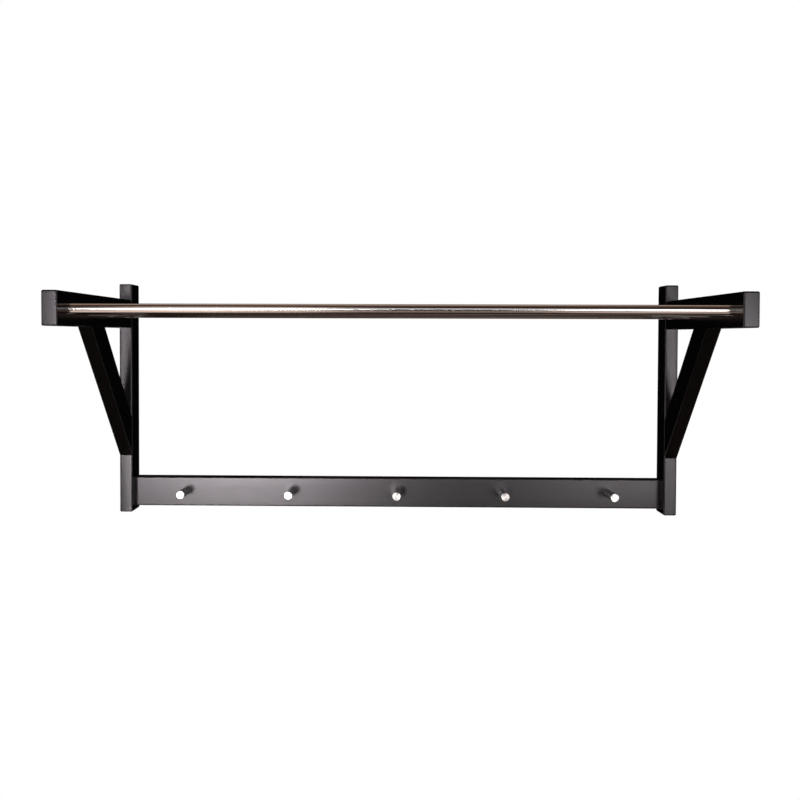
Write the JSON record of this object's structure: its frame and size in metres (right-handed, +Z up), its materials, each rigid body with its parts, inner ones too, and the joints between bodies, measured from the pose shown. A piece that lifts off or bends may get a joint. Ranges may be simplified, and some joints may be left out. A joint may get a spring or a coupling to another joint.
{
  "type": "wall coat rack",
  "caption": "Wall coat rack: braced wooden brackets joined by a hat shelf of steel tubes and, below it, a rail of plain turned coat pegs.",
  "frame": {"origin": "on the wall plane, midway between the brackets, at the height of the wall screws' seats in the keyhole hangers, which is also the centre line of the arms and shelf tubes", "axes": "+X along the rack to the right as seen from the room, +Y into the wall, +Z up"},
  "size_m": [0.79, 0.345, 0.325],
  "materials": {
    "black_lacquer": "satin black lacquer",
    "shelf_tube": "bright drawn stainless",
    "peg": "turned, with a faced end",
    "beech": "bare",
    "zinc_steel": "zinc plated",
    "black_oxide": "black oxide"
  },
  "bodies": {
    "root": {"left_upright": "black_lacquer", "right_upright": "black_lacquer", "left_arm": "black_lacquer", "right_arm": "black_lacquer", "left_brace": "black_lacquer", "right_brace": "black_lacquer", "hook_rail": "black_lacquer", "shelf_tube_1": "shelf_tube", "shelf_tube_2": "shelf_tube", "shelf_tube_3": "shelf_tube", "shelf_tube_4": "shelf_tube", "peg_1": "peg", "peg_2": "peg", "peg_3": "peg", "peg_4": "peg", "peg_5": "peg", "peg_screw_1": "zinc_steel", "peg_screw_2": "zinc_steel", "peg_screw_3": "zinc_steel", "peg_screw_4": "zinc_steel", "peg_screw_5": "zinc_steel", "left_arm_dowel_1": "beech", "left_arm_dowel_2": "beech", "left_brace_head_dowel_1": "beech", "left_brace_head_dowel_2": "beech", "left_brace_foot_dowel_1": "beech", "left_brace_foot_dowel_2": "beech", "left_rail_dowel": "beech", "right_arm_dowel_1": "beech", "right_arm_dowel_2": "beech", "right_brace_head_dowel_1": "beech", "right_brace_head_dowel_2": "beech", "right_brace_foot_dowel_1": "beech", "right_brace_foot_dowel_2": "beech", "right_rail_dowel": "beech", "left_rail_bolt": "black_oxide", "right_rail_bolt": "black_oxide", "left_barrel_nut": "zinc_steel", "right_barrel_nut": "zinc_steel", "left_hanger": "zinc_steel", "right_hanger": "zinc_steel", "left_hanger_screw_upper": "zinc_steel", "left_hanger_screw_lower": "zinc_steel", "right_hanger_screw_upper": "zinc_steel", "right_hanger_screw_lower": "zinc_steel"}
  },
  "joints": []
}
